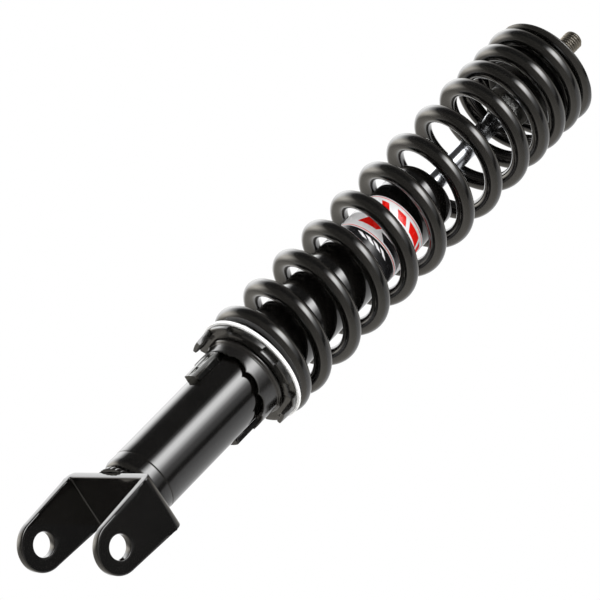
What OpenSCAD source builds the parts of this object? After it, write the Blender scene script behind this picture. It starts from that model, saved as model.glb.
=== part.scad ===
// Spring and damper strut. A folded fork bolts on below, a threaded stud above.
// Origin: centre of the fork's two bores. +X runs along the bores, +Z up the strut's axis.

/* [Fork] */
// Radius of the bolt bore in each ear
fork_bore_r = 6; // [4:0.5:8]
// Radius of the rounded end of each ear
ear_end_r = 13.1; // [11:0.1:16]
// Half the width of an ear where it meets the web
ear_root_half_w = 14.7; // [14:0.1:18]
// Thickness of the folded plate
plate_t = 4; // [3:0.5:5]
// Gap between the two ears
fork_gap = 54; // [44:1:70]
// Height of the web's lower face above the bores
web_height = 30.8; // [26:0.2:45]
// Inside radius of the two folds
fold_r = 0.6; // [0.4:0.1:1.5]
// Height of the weld bead round the tube's foot
weld_h = 3.2; // [2:0.1:4]
// How far the weld bead stands out from the foot
weld_w = 2; // [1:0.1:3]

/* [Damper tube] */
// Outside radius of the damper's tube
tube_r = 17.5; // [15:0.1:18]
// Wall of the damper's tube
tube_wall = 1.8; // [1.4:0.1:2.2]
// Length of the tube between its base cap and its gland cap
tube_len = 206; // [190:1:260]
// How far the foot under the base cap stands in from the tube's side
foot_inset = 2.5; // [2:0.1:4]
// Height of the foot below the rounded shoulder
foot_h = 3.4; // [3.2:0.1:6]
// Height of the base cap's rounded shoulder
shoulder_h = 4; // [3:0.1:5]
// Height of the base cap's straight part above the shoulder
base_skirt_h = 4.8; // [3:0.1:8]
// Height of the gland cap that closes the tube
gland_h = 12.8; // [11:0.1:18]
// Radius of the edge round the gland cap's top
gland_edge_r = 1.4; // [0.6:0.1:2]
// Distance from the label's upper edge to the gland cap
label_drop = 12; // [6:1:40]
// Height of the label
label_h = 35; // [20:1:36]
// Thickness of the label's film
label_t = 0.12; // [0.1:0.01:0.2]

/* [Spring] */
// Diameter of the spring's wire
wire_d = 8.75; // [7:0.05:9]
// Gap between the spring's wire and the tube inside it
coil_room = 3.3; // [2.8:0.1:6]
// Turns lying closed on the lower seat
closed_turns = 0.8; // [0.5:0.05:1.2]
// Turns of the widely wound part
open_turns = 7.2; // [5:0.1:8]
// Turns of the narrowly wound part at the top
tight_turns = 2.2; // [1.5:0.1:3]
// Rise for each turn of the narrowly wound part
tight_pitch = 13.6; // [11:0.1:16]
// Turns lying closed against the upper seat
end_turns = 1.04; // [0.7:0.01:1.2]

/* [Preload collar] */
// Thickness of the collar's sleeve
sleeve_t = 3; // [2.6:0.1:4]
// How far the collar's flange reaches past the middle of the spring's wire
flange_over = 2.4; // [1:0.1:4]
// Thickness of the collar's flange
flange_t = 3.4; // [2.5:0.1:5]
// Height of the flange's lower face above the lugs
flange_rise = 8.8; // [7:0.1:20]
// Number of hook-spanner notches round the flange
spanner_notches = 8; // [6:1:12]
// Depth of a hook-spanner notch
notch_depth = 2.8; // [1.5:0.1:3.5]
// Rise of the spring seat from one step of the collar to the next
step_rise = 2.1; // [1.5:0.1:2.5]
// Turn of the collar from one step to the next, in degrees
step_turn = 33; // [30:1:34]
// Depth of a scallop below the line between its two cusps
scallop_depth = 2.4; // [1.5:0.1:3]
// Thickness of the bright ring under the spring
washer_t = 1.6; // [1:0.1:2.5]
// How far the bright ring reaches past the middle of the spring's wire
washer_over = 3.4; // [2:0.1:5]

/* [Preload lugs] */
// Height of a lug's lower end above the tube's lower end
lug_rise = 51.2; // [45:0.1:55]
// Length of a lug along the tube
lug_len = 17.8; // [12:0.1:20]
// Width of a lug round the tube
lug_w = 9.4; // [7:0.1:10]
// How far a lug stands out from the tube
lug_h = 3.2; // [2.5:0.1:4]
// Width of the pressed oval in a lug
lug_oval_w = 2.4; // [1.6:0.1:3]
// Length of the pressed oval in a lug
lug_oval_len = 4.2; // [3.2:0.1:5]
// Depth of the pressed oval in a lug
lug_oval_depth = 1.6; // [0.8:0.1:2]

/* [Piston rod] */
// Radius of the piston rod
rod_r = 5; // [4:0.1:6]
// How far the rod slides into the damper
rod_travel = 60; // [40:1:60]
// Radius of the threaded stud
stud_r = 5; // [4:0.1:6]
// Length of the stud above the upper seat
stud_len = 25.6; // [18:0.1:40]
// Bevel at the stud's tip
stud_bevel = 1; // [0.4:0.1:1.5]

/* [Upper seat] */
// How far the upper seat's flange reaches past the middle of the spring's wire
seat_flange_over = 2.6; // [1:0.1:5]
// Thickness of the upper seat's sheet
seat_t = 2; // [1.5:0.1:2.5]
// Gap between the spring's wire and the cup that centres it
seat_cup_room = 1.4; // [0.8:0.1:2.5]
// Depth of the cup below the flange
seat_cup_depth = 20; // [12:0.1:24]
// Depth of the hub below the cup
seat_hub_depth = 10; // [8:0.1:14]
// Width across the flats of the two seat nuts
seat_nut_flats = 16; // [14:0.5:16]
// Height of the nut under the hub
under_nut_h = 6.5; // [4:0.1:8]
// Height of the nut inside the hub
clamp_nut_h = 6; // [4:0.1:7]

/* [Damper inside] */
// Gap between the pressure tube and the damper's tube
oil_gap = 3.2; // [2.5:0.1:4]
// Wall of the pressure tube
pressure_wall = 1.5; // [1:0.1:2]
// Height of the piston
piston_h = 14; // [10:0.1:18]
// Height of the top-out buffer on the rod
buffer_h = 10; // [6:0.1:14]
// Radius of the piston's spigot
spigot_r = 3.5; // [3:0.1:4]

/* [Clearances] */
// Between the rod and what it slides in
rod_clear = 0.05; // [0.03:0.01:0.1]
// Between the piston ring and the pressure tube
piston_clear = 0.05; // [0.03:0.01:0.1]
// Between the collar and the tube that it turns on
collar_clear = 0.08; // [0.05:0.01:0.1]
// Between the collar's pilot and the bright ring
ring_clear = 0.08; // [0.05:0.01:0.1]
// Between pieces that press or screw together
joint_clear = 0.03; // [0.01:0.01:0.05]
// Between the ends of the spring and their seats
spring_end_gap = 0.05; // [0.02:0.01:0.1]
// Between a cusp of the collar and a lug as the collar turns
cusp_clear = 0.5; // [0.4:0.1:1]
// Between the top-out buffer and the rod guide
buffer_gap = 0.3; // [0.2:0.1:0.5]
// Between the lower seat nut and the dust wiper with the rod fully in
end_stop_gap = 2.5; // [1:0.1:5]

/* [Hidden] */

$fn = 96;
eps = 0.01;               // overshoot that lets a cut pass through a face

// Radii that follow the tube's and the wire's
tube_bore = tube_r - tube_wall;
plug_r = tube_bore - joint_clear;
foot_r = tube_r - foot_inset;
wire_r = wire_d / 2;
coil_r = tube_r + coil_room + wire_r;
collar_bore = tube_r + collar_clear;
sleeve_r = collar_bore + sleeve_t;
flange_r = coil_r + flange_over;
washer_r = coil_r + washer_over;
pilot_room = 0.9;         // between the wire and the pilot that centres it on the collar
pilot_r = coil_r - wire_r - pilot_room;
seat_flange_r = coil_r + seat_flange_over;
seat_cup_r = coil_r - wire_r - seat_cup_room;
nut_room = 0.4;           // between the clamp nut's corners and the hub round it
seat_hub_r = seat_nut_flats / sqrt(3) + nut_room + seat_t;

// Heights along the strut, from the fork upwards
web_top = web_height + plate_t;
shoulder_z = web_top + foot_h;
base_skirt_z = shoulder_z + shoulder_h;
tube_z = base_skirt_z + base_skirt_h;
tube_top = tube_z + tube_len;
gland_top = tube_top + gland_h;
lug_top = tube_z + lug_rise + lug_len;
flange_z = lug_top + flange_rise;
ring_z = flange_z + flange_t + spring_end_gap;
spring_z = ring_z + washer_t + spring_end_gap;
wiper_lip_h = 1.4;
under_nut_z = gland_top + wiper_lip_h + end_stop_gap + rod_travel;
hub_floor_z = under_nut_z + under_nut_h;
cup_floor_z = hub_floor_z + seat_hub_depth;
seat_face_z = cup_floor_z + seat_cup_depth;
seat_top = seat_face_z + seat_t;
stud_top = seat_top + stud_len;
spring_len = seat_face_z - spring_end_gap - spring_z;

// Fork
fork_half = fork_gap / 2 + plate_t;
ear_start = 0.08;         // how far the ear's straight sides start inside its round end

// Base cap
base_plug_h = 3;
bowl_depth = 5;

// Gland cap and what it holds
gland_plug_h = 10;
gland_plug_z = tube_top - gland_plug_h;
gland_thread_r = rod_r + 0.5;
wiper_pocket_r = rod_r + 3;
wiper_pocket_h = 4;
seal_pocket_r = rod_r + 6;
seal_h = 6;
seal_roof = 3;            // metal between the seal's pocket and the wiper's pocket
seal_top = gland_top - wiper_pocket_h - seal_roof;
o_ring_r = 0.65;
o_ring_z = gland_plug_z + 3;
o_ring_coil_r = plug_r - o_ring_r;

// Rod guide and pressure tube
guide_h = 9;
guide_spigot_h = 4;
guide_z = gland_plug_z - guide_h;
guide_low_z = guide_z - guide_spigot_h;
bushing_wall = 1.2;
pressure_out_r = tube_bore - oil_gap;
pressure_r = pressure_out_r - pressure_wall;
bowl_r = pressure_out_r - 1;
valve_flange_h = 4;
pressure_z = tube_z + base_plug_h + valve_flange_h;

// Piston stack, downwards from the rod guide
buffer_top = guide_low_z - buffer_gap;
buffer_z = buffer_top - buffer_h;
retainer_h = 2;
retainer_z = buffer_z - retainer_h;
rod_neck = 5.7;           // plain rod between the retainer and the piston's shoulder
rod_shoulder_z = retainer_z - rod_neck;
shim_t = 0.4;
shim_inset = 1.6;         // how far the widest shim stands in from the piston's side
shim_shrink = 0.7;        // how much smaller each next shim is
rebound_shim_count = 4;
compression_shim_count = 3;
piston_top = rod_shoulder_z - rebound_shim_count * shim_t;
piston_z = piston_top - piston_h;
piston_nut_top = piston_z - compression_shim_count * shim_t;
piston_nut_h = 6;
piston_nut_flats = 11;
rod_past_nut = 2;
rod_end_z = piston_nut_top - piston_nut_h - rod_past_nut;
piston_body_r = pressure_r - 0.4;
ring_groove_r = piston_body_r - 1;
ring_groove_h = 7;

// Grooves at the ends of the rod's threads
thread_start_z = under_nut_z - 3;
relief_h = 1.6;
relief_depth = 0.6;

// Preload steps: the lug rests in the first notch, and the others follow to its right
steps = 4;
lug_half_turn = asin(lug_w / 2 / tube_r);
first_notch_left = -20;   // the first notch's left wall, in degrees from the lug's middle
first_notch_right = 180 + first_notch_left - steps * step_turn;
cusp_slope = step_rise / step_turn;
first_cusp_z = lug_top + cusp_clear - cusp_slope * (first_notch_right - lug_half_turn);
first_notch_top = lug_top + 0.8;
sleeve_low_z = first_cusp_z - steps * step_rise;
// The two bent tabs that a hand finds under the flange
tab_turn = 145;
tab_w = 9;
tab_t = 2;
tab_h = 6;

// ---------- Shapes that repeat ----------

// Straight ring from low_z to high_z
module ring(inner_r, outer_r, low_z, high_z) {
    translate([0, 0, low_z]) difference() {
        cylinder(r = outer_r, h = high_z - low_z);
        translate([0, 0, -eps]) cylinder(r = inner_r, h = high_z - low_z + 2 * eps);
    }
}

// Wedge round the axis from low_z to high_z, between two angles less than half a turn apart
module wedge(low_z, high_z, from_angle, to_angle) {
    reach = 3 * sleeve_r;
    translate([0, 0, low_z]) linear_extrude(high_z - low_z)
        polygon([[0, 0], reach * [cos(from_angle), sin(from_angle)],
                 reach * [cos(to_angle), sin(to_angle)]]);
}

// Six-sided nut with a plain bore
module hex_nut(flats, bore_r, low_z, height) {
    corner_r = flats / sqrt(3);
    face_r = flats / 2 - 0.1;
    corner_h = 0.8;       // height lost at each corner to the round bevel
    translate([0, 0, low_z]) difference() {
        intersection() {
            cylinder(r = corner_r, h = height, $fn = 6);
            rotate_extrude() polygon([[0, 0], [face_r, 0], [corner_r, corner_h],
                [corner_r, height - corner_h], [face_r, height], [0, height]]);
        }
        translate([0, 0, -eps]) cylinder(r = bore_r, h = height + 2 * eps);
    }
}

// Points of an arc, from one angle to another
function arc(centre, r, from_angle, to_angle, parts) =
    [for (i = [0:parts]) let (a = from_angle + (to_angle - from_angle) * i / parts)
        centre + r * [cos(a), sin(a)]];

// Stack of thin discs that shrink away from the piston
module shim_stack(low_z, count, grows) {
    for (i = [0:count - 1])
        ring(spigot_r + joint_clear,
             piston_body_r - shim_inset - shim_shrink * (grows ? count - 1 - i : i),
             low_z + i * shim_t, low_z + (i + 1) * shim_t);
}

// ---------- Fork ----------

// Side outline of an ear and the web, drawn along +X
module fork_side_outline() {
    rotate([90, 0, 90]) translate([0, 0, -fork_half - 1]) linear_extrude(2 * fork_half + 2) {
        circle(r = ear_end_r);
        polygon([[-ear_end_r + ear_start, -1], [ear_end_r - ear_start, -1],
                 [ear_root_half_w, web_height], [ear_root_half_w, web_top + 1],
                 [-ear_root_half_w, web_top + 1], [-ear_root_half_w, web_height]]);
    }
}

// Block across the fork with its two upper edges rounded
module folded_block(half_w, low_z, high_z, edge_r) {
    depth = 4 * ear_root_half_w;
    translate([-half_w, -depth / 2, low_z]) cube([2 * half_w, depth, high_z - low_z - edge_r]);
    translate([edge_r - half_w, -depth / 2, low_z]) cube([2 * (half_w - edge_r), depth, high_z - low_z]);
    for (side = [-1, 1]) translate([side * (half_w - edge_r), depth / 2, high_z - edge_r])
        rotate([90, 0, 0]) cylinder(r = edge_r, h = depth);
}

module clevis_bracket() {
    color("#1b1b1c") difference() {
        intersection() {
            folded_block(fork_half, -2 * ear_end_r, web_top, fold_r + plate_t);
            fork_side_outline();
        }
        folded_block(fork_gap / 2, -3 * ear_end_r, web_height, fold_r);
        rotate([0, 90, 0]) cylinder(r = fork_bore_r, h = 3 * fork_half, center = true);
    }
}

module clevis_weld() {
    color("#232324") rotate_extrude() polygon(concat(
        [[foot_r + joint_clear, web_top], [foot_r + weld_w, web_top]],
        arc([foot_r + joint_clear, web_top], weld_w, 20, 70, 4),
        [[foot_r + joint_clear, web_top + weld_h]]));
}

// ---------- Damper tube and its fixed pieces ----------

module tube_base_cap() {
    shoulder_w = tube_r - foot_r;
    color("#161617") difference() {
        rotate_extrude() polygon(concat(
            [[0, web_top], [foot_r, web_top]],
            [for (i = [0:6]) let (a = 15 * i)
                [foot_r + shoulder_w * sin(a), shoulder_z + shoulder_h * (1 - cos(a))]],
            [[tube_r, tube_z], [plug_r, tube_z], [plug_r, tube_z + base_plug_h],
             [0, tube_z + base_plug_h]]));
        translate([0, 0, tube_z + base_plug_h - bowl_depth])
            cylinder(r = bowl_r, h = bowl_depth + eps);
    }
}

module damper_tube() {
    color("#141415") ring(tube_bore, tube_r, tube_z, tube_top);
}

// One pressed lug with two ovals, on the -Y side
module preload_lug() {
    oval_pitch = lug_len / 2;
    difference() {
        intersection() {
            ring(tube_r, tube_r + lug_h, lug_top - lug_len, lug_top);
            translate([-lug_w / 2, -tube_r - lug_h - 1, lug_top - lug_len - 1])
                cube([lug_w, tube_r, lug_len + 2]);
        }
        for (end = [-1, 1])
            translate([0, -tube_r - lug_h - 1, lug_top - lug_len / 2 + end * oval_pitch / 2])
                rotate([-90, 0, 0]) {
                    spread = (lug_oval_len - lug_oval_w) / 2;
                    for (side = [-1, 1]) translate([0, side * spread, 0])
                        cylinder(r = lug_oval_w / 2, h = lug_oval_depth + 1, $fn = 32);
                    translate([-lug_oval_w / 2, -spread, 0])
                        cube([lug_oval_w, 2 * spread, lug_oval_depth + 1]);
                }
    }
}

module preload_lugs() {
    color("#8b8b8a") for (turn = [0, 180]) rotate([0, 0, turn]) preload_lug();
}

module label_band() {
    label_top = tube_top - label_drop;
    color("#e9e7e4") ring(tube_r, tube_r + label_t, label_top - label_h, label_top);
}

module gland_cap() {
    color("#121213") difference() {
        rotate_extrude() polygon(concat(
            [[gland_thread_r, gland_plug_z], [plug_r, gland_plug_z], [plug_r, tube_top],
             [tube_r, tube_top]],
            arc([tube_r - gland_edge_r, gland_top - gland_edge_r], gland_edge_r, 0, 90, 6),
            [[gland_thread_r, gland_top]]));
        translate([0, 0, gland_top - wiper_pocket_h])
            cylinder(r = wiper_pocket_r, h = wiper_pocket_h + eps);
        translate([0, 0, gland_plug_z - eps])
            cylinder(r = seal_pocket_r, h = seal_top - gland_plug_z + eps);
        rotate_extrude() translate([o_ring_coil_r, o_ring_z]) translate([-o_ring_r - joint_clear,
            -o_ring_r - joint_clear]) square([3 * o_ring_r, 2 * (o_ring_r + joint_clear)]);
    }
}

module gland_o_ring() {
    color("#1d1d1d") translate([0, 0, o_ring_z]) rotate_extrude()
        translate([o_ring_coil_r, 0]) circle(r = o_ring_r, $fn = 32);
}

module rod_oil_seal() {
    color("#3a2a22") ring(rod_r + rod_clear, seal_pocket_r - joint_clear, seal_top - seal_h, seal_top);
}

module dust_wiper() {
    wiper_z = gland_top - wiper_pocket_h;
    inner_r = rod_r + rod_clear;
    color("#202020") rotate_extrude() polygon([
        [inner_r, wiper_z], [wiper_pocket_r - joint_clear, wiper_z],
        [wiper_pocket_r - joint_clear, gland_top], [inner_r + 1.6, gland_top],
        [inner_r + 0.7, gland_top + wiper_lip_h], [inner_r, gland_top + wiper_lip_h]]);
}

module rod_guide() {
    color("#8f9194") rotate_extrude() polygon([
        [rod_r + rod_clear + bushing_wall, guide_low_z], [pressure_r - joint_clear, guide_low_z],
        [pressure_r - joint_clear, guide_z], [plug_r, guide_z], [plug_r, gland_plug_z],
        [rod_r + rod_clear + bushing_wall, gland_plug_z]]);
}

module guide_bushing() {
    color("#b08d57") ring(rod_r + rod_clear, rod_r + rod_clear + bushing_wall - joint_clear,
                          guide_low_z, gland_plug_z);
}

module pressure_tube() {
    color("#a7a9ac") ring(pressure_r, pressure_out_r, pressure_z, guide_z);
}

// ---------- Base valve ----------

valve_bolt_r = 2.5;
valve_port_r = 1.3;
valve_port_ring = (valve_bolt_r + pressure_r) / 2;
valve_spigot_h = 4;

module base_valve_body() {
    flange_low = pressure_z - valve_flange_h;
    color("#9a9c9f") difference() {
        union() {
            ring(valve_bolt_r + joint_clear, pressure_out_r + oil_gap / 3, flange_low, pressure_z);
            ring(valve_bolt_r + joint_clear, pressure_r - joint_clear, pressure_z - 1,
                 pressure_z + valve_spigot_h);
        }
        for (i = [0:5]) rotate([0, 0, 60 * i]) translate([valve_port_ring, 0, flange_low - eps])
            cylinder(r = valve_port_r, h = valve_flange_h + valve_spigot_h + 2 * eps, $fn = 32);
    }
}

module base_valve_plate() {
    plate_z = pressure_z + valve_spigot_h;
    color("#c3c5c8") ring(valve_bolt_r + joint_clear, valve_port_ring + 2, plate_z, plate_z + 2 * shim_t);
}

module base_valve_bolt() {
    plate_top = pressure_z + valve_spigot_h + 2 * shim_t;
    bolt_low = pressure_z - valve_flange_h - 3;
    color("#7d7f82") union() {
        translate([0, 0, bolt_low]) cylinder(r = valve_bolt_r, h = plate_top - bolt_low + 1);
        translate([0, 0, plate_top]) cylinder(r = valve_bolt_r + 2, h = 3, $fn = 6);
    }
}

// ---------- Spring ----------

spring_sides = 12;
steps_per_turn = 22;
closed_gap = 0.35;        // between neighbouring coils where they are wound closed
closed_lead = wire_d + closed_gap;
lower_tip_t = 5.6;        // thickness left at the ground tip of the lowest coil
upper_tip_t = 1.2;        // thickness left at the ground tip of the uppermost coil
lower_bend = 0.3;         // turns over which one pitch passes into the next
middle_bend = 1;
upper_bend = 0.3;
wire_low = lower_tip_t - wire_r;
wire_high = spring_len + wire_r - upper_tip_t;

// The open pitch takes up whatever rise the closed and tight turns leave
open_pitch = (wire_high - wire_low - closed_lead * (closed_turns + end_turns + lower_bend / 2 + upper_bend / 2)
    - tight_pitch * (tight_turns + middle_bend / 2 + upper_bend / 2))
    / (open_turns + lower_bend / 2 + middle_bend / 2);

// Stretches of the spring: turns, pitch where each starts, pitch where it ends
stretches = [[closed_turns, closed_lead, closed_lead], [lower_bend, closed_lead, open_pitch],
             [open_turns, open_pitch, open_pitch], [middle_bend, open_pitch, tight_pitch],
             [tight_turns, tight_pitch, tight_pitch], [upper_bend, tight_pitch, closed_lead],
             [end_turns, closed_lead, closed_lead]];
function turns_before(i) = i == 0 ? 0 : turns_before(i - 1) + stretches[i - 1][0];
spring_turns = turns_before(len(stretches));
spring_stations = ceil(spring_turns * steps_per_turn);
first_coil_angle = 198;   // where the lower tip points, round the axis from +X

// Rise over part of one stretch, whose pitch changes evenly from start to end
function stretch_rise(s, t) =
    let (u = max(0, min(s[0], t))) u * s[1] + u * u * (s[2] - s[1]) / (2 * s[0]);

// Height of the wire's middle above the lower seat, after t turns
function wire_height(t, i = 0) = i == len(stretches) ? wire_low
    : stretch_rise(stretches[i], t) + wire_height(t - stretches[i][0], i + 1);

// A point of the wire's outline, at angle b round the wire, where its middle is at height z.
// Past a seat's face only the arc on the near side is left, and the rest lies on the face.
function outline_point(b, z) =
    let (beyond = max(0, z - spring_len, -z) / wire_r,
         trim = asin(min(0.97, beyond)),
         arc_middle = z > spring_len ? 270 : 90,
         turn = arc_middle == 270 && b < 90 ? b + 360 : b,
         on_arc = abs(turn - arc_middle) <= 90,
         place = on_arc ? arc_middle + (turn - arc_middle) * (90 - trim) / 90 : b)
    [coil_r + wire_r * (on_arc ? 1 : cos(trim)) * cos(place),
     max(0, min(spring_len, z + wire_r * sin(place)))];

// One ring of points round the wire after t turns. The winding is left-handed.
function wire_section(t) =
    let (a = first_coil_angle - 360 * t, z = wire_height(t))
    [for (j = [0:spring_sides - 1]) let (p = outline_point(360 * j / spring_sides, z))
        [p[0] * cos(a), p[0] * sin(a), spring_z + p[1]]];

module coil_spring() {
    n = spring_sides;
    points = [for (i = [0:spring_stations]) each wire_section(spring_turns * i / spring_stations)];
    faces = concat(
        [[for (j = [0:n - 1]) j]],
        [for (i = [0:spring_stations - 1], j = [0:n - 1]) let (k = (j + 1) % n)
            [i * n + j, (i + 1) * n + j, (i + 1) * n + k]],
        [for (i = [0:spring_stations - 1], j = [0:n - 1]) let (k = (j + 1) % n)
            [i * n + j, (i + 1) * n + k, i * n + k]],
        [[for (j = [n - 1:-1:0]) spring_stations * n + j]]);
    color("#101011") polyhedron(points = points, faces = faces, convexity = 12);
}

// ---------- Preload collar and the ring on it ----------

// One scallop between two cusps: a round cut through the sleeve above a straight one
module scallop(left_turn, left_z) {
    half_chord = sleeve_r * step_turn * PI / 180 / 2;
    chord = sqrt(4 * half_chord * half_chord + step_rise * step_rise);
    r = (chord * chord / 4 + scallop_depth * scallop_depth) / (2 * scallop_depth);
    drop = r - scallop_depth;
    shift = drop * step_rise / chord;
    axis_z = left_z - step_rise / 2 - drop * 2 * half_chord / chord;
    intersection() {
        rotate([0, 0, left_turn + step_turn / 2 - shift * 180 / PI / sleeve_r])
            translate([0, 0, axis_z]) rotate([0, 90, 0]) cylinder(r = r, h = sleeve_r + 2);
        wedge(sleeve_low_z - 1, flange_z, left_turn, left_turn + step_turn);
    }
    wedge(sleeve_low_z - 1, left_z - step_rise, left_turn, left_turn + step_turn);
}

// Stepped lower edge of the sleeve, for half a turn
module half_cam_edge() {
    wedge(sleeve_low_z - 1, first_notch_top, -90 + first_notch_left, -90 + first_notch_right);
    for (k = [0:steps - 1])
        scallop(-90 + first_notch_right + k * step_turn, first_cusp_z - k * step_rise);
}

module preload_collar() {
    bead_r = 1.1;
    color("#3d3d3c") difference() {
        union() {
            rotate_extrude() polygon(concat(
                [[collar_bore, sleeve_low_z], [sleeve_r, sleeve_low_z],
                 [sleeve_r, flange_z - 2 * bead_r]],
                arc([sleeve_r, flange_z - bead_r], bead_r, -70, 70, 6),
                [[sleeve_r + 1.2, flange_z], [flange_r - 0.6, flange_z], [flange_r, flange_z + 0.6],
                 [flange_r, flange_z + flange_t - 0.6], [flange_r - 0.6, flange_z + flange_t],
                 [pilot_r, flange_z + flange_t], [pilot_r, spring_z + wire_r],
                 [collar_bore, spring_z + wire_r]]));
            for (turn = [0, 180]) rotate([0, 0, tab_turn + turn - 90])
                translate([flange_r - tab_t - 0.3, -tab_w / 2, flange_z - tab_h])
                    cube([tab_t, tab_w, tab_h + flange_t / 2]);
        }
        for (turn = [0, 180]) rotate([0, 0, turn]) half_cam_edge();
        for (i = [0:spanner_notches - 1]) rotate([0, 0, 360 * (i + 0.5) / spanner_notches])
            translate([flange_r - notch_depth, -flange_r * 0.17, flange_z - eps])
                cube([flange_r, flange_r * 0.34, flange_t * 0.72]);
    }
}

module spring_seat_ring() {
    color("#d9dadb") ring(pilot_r + ring_clear, washer_r, ring_z, ring_z + washer_t);
}

// ---------- Rod and what moves with it ----------

module piston_rod() {
    color("#c9ccd0") rotate_extrude() polygon([
        [0, rod_end_z], [spigot_r - 0.5, rod_end_z], [spigot_r, rod_end_z + 0.5],
        [spigot_r, rod_shoulder_z], [rod_r, rod_shoulder_z],
        [rod_r, thread_start_z], [stud_r - relief_depth, thread_start_z + relief_depth],
        [stud_r - relief_depth, thread_start_z + relief_h], [stud_r, thread_start_z + relief_h],
        [stud_r, seat_top - relief_h], [stud_r - relief_depth, seat_top - relief_h],
        [stud_r - relief_depth, seat_top], [stud_r, seat_top],
        [stud_r, stud_top - stud_bevel], [stud_r - stud_bevel, stud_top], [0, stud_top]]);
}

module piston() {
    port_ring = (spigot_r + ring_groove_r) / 2;
    port_r = 1.2;
    color("#77797c") difference() {
        ring(spigot_r + joint_clear, piston_body_r, piston_z, piston_top);
        ring(ring_groove_r, piston_body_r + 1, piston_z + (piston_h - ring_groove_h) / 2,
             piston_z + (piston_h + ring_groove_h) / 2);
        for (i = [0:7]) rotate([0, 0, 45 * i]) translate([port_ring, 0, piston_z - eps])
            cylinder(r = port_r, h = piston_h + 2 * eps, $fn = 32);
    }
}

module piston_ring() {
    color("#5b4636") ring(ring_groove_r + joint_clear, pressure_r - piston_clear,
        piston_z + (piston_h - ring_groove_h) / 2 + joint_clear,
        piston_z + (piston_h + ring_groove_h) / 2 - joint_clear);
}

module rebound_shims() {
    color("#c0c2c4") shim_stack(piston_top, rebound_shim_count, false);
}

module compression_shims() {
    color("#c0c2c4") shim_stack(piston_nut_top, compression_shim_count, true);
}

module piston_nut() {
    color("#8a8c8f") hex_nut(piston_nut_flats, spigot_r + joint_clear,
                             piston_nut_top - piston_nut_h, piston_nut_h);
}

module top_out_buffer() {
    color("#242424") ring(rod_r + joint_clear, pressure_r - 1.5, buffer_z, buffer_top);
}

module buffer_retainer() {
    color("#909295") ring(rod_r + joint_clear, (rod_r + pressure_r) / 2, retainer_z, buffer_z);
}

module upper_spring_seat() {
    floor_top = hub_floor_z + seat_t;
    step_top = cup_floor_z + seat_t;
    hub_edge_r = 1;
    cup_edge_r = 1.5;
    mouth_bevel = 0.6;
    color("#1a1a1b") rotate_extrude() polygon(concat(
        [[stud_r + joint_clear, hub_floor_z]],
        arc([seat_hub_r - hub_edge_r, hub_floor_z + hub_edge_r], hub_edge_r, -90, 0, 4),
        [[seat_hub_r, cup_floor_z]],
        arc([seat_cup_r - cup_edge_r, cup_floor_z + cup_edge_r], cup_edge_r, -90, 0, 5),
        [[seat_cup_r, seat_face_z], [seat_flange_r, seat_face_z], [seat_flange_r, seat_top],
         [seat_cup_r - seat_t + mouth_bevel, seat_top], [seat_cup_r - seat_t, seat_top - mouth_bevel],
         [seat_cup_r - seat_t, step_top], [seat_hub_r - seat_t, step_top],
         [seat_hub_r - seat_t, floor_top], [stud_r + joint_clear, floor_top]]));
}

module under_seat_nut() {
    color("#b9bcc0") hex_nut(seat_nut_flats, stud_r + joint_clear, under_nut_z, under_nut_h);
}

module seat_clamp_nut() {
    color("#a9acb0") hex_nut(seat_nut_flats, stud_r + joint_clear, hub_floor_z + seat_t, clamp_nut_h);
}

clevis_bracket();
clevis_weld();
tube_base_cap();
damper_tube();
preload_lugs();
label_band();
gland_cap();
gland_o_ring();
rod_oil_seal();
dust_wiper();
rod_guide();
guide_bushing();
pressure_tube();
base_valve_body();
base_valve_plate();
base_valve_bolt();
coil_spring();
spring_seat_ring();
preload_collar();
piston_rod();
piston();
piston_ring();
rebound_shims();
compression_shims();
piston_nut();
top_out_buffer();
buffer_retainer();
upper_spring_seat();
under_seat_nut();
seat_clamp_nut();
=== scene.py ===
"""Spring and damper strut: the visible surfaces and finishes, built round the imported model."""

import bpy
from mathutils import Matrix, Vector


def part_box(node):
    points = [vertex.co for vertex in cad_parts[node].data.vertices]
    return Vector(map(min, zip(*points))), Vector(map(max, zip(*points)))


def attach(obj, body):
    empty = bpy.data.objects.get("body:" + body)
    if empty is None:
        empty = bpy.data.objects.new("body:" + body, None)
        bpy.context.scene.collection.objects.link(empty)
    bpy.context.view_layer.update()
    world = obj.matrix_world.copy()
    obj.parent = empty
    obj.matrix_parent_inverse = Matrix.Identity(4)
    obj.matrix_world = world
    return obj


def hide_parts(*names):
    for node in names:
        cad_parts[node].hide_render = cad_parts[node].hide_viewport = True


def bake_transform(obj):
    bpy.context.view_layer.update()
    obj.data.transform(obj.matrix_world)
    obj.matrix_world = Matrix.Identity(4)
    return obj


bl_info = {
    "name": "Spring and Damper Strut",
    "version": (1, 0, 0),
    "blender": (4, 5, 0),
    "location": "3D View > Sidebar > Strut",
    "description": "Makes the strut's spring, tube, fork, collar, seat and rod, with their finishes",
    "category": "Object",
}

from types import SimpleNamespace

import bmesh
import bpy
import numpy as np
from bpy.props import FloatProperty, FloatVectorProperty, IntProperty, PointerProperty
from mathutils import Matrix, Vector

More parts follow.
